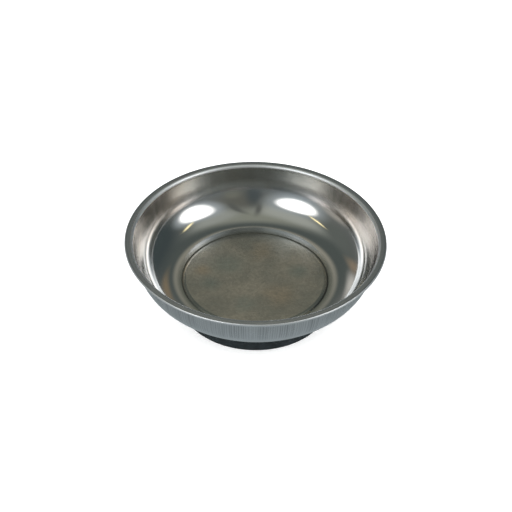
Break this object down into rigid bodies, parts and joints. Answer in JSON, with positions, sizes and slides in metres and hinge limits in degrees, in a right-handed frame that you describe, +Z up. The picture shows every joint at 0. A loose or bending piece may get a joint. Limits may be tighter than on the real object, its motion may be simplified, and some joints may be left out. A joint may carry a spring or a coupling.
{
  "type": "magnetic parts dish",
  "caption": "Round stainless dish with a folded rim on a rubber-covered ring magnet, for holding and sorting small steel parts.",
  "frame": {"origin": "centre of the rubber boot's underside, on the surface the dish stands on", "axes": "+Z up along the dish's axis of revolution; X and Y are any two horizontal directions"},
  "size_m": [0.15, 0.15, 0.047],
  "materials": {
    "stainless_sheet": "satin, brushed",
    "zinc_plated_steel": "dull zinc plate",
    "ferrite": "matt ceramic",
    "glue": "cured glue",
    "black_rubber": "satin"
  },
  "bodies": {
    "root": {"bowl": "stainless_sheet", "weld_stud": "zinc_plated_steel", "flat_washer": "zinc_plated_steel", "spring_washer": "zinc_plated_steel", "hex_nut": "zinc_plated_steel", "pole_plate": "zinc_plated_steel", "magnet_glue_film": "glue", "ring_magnet": "ferrite", "boot_glue_ring": "glue", "rubber_boot": "black_rubber"}
  },
  "joints": []
}
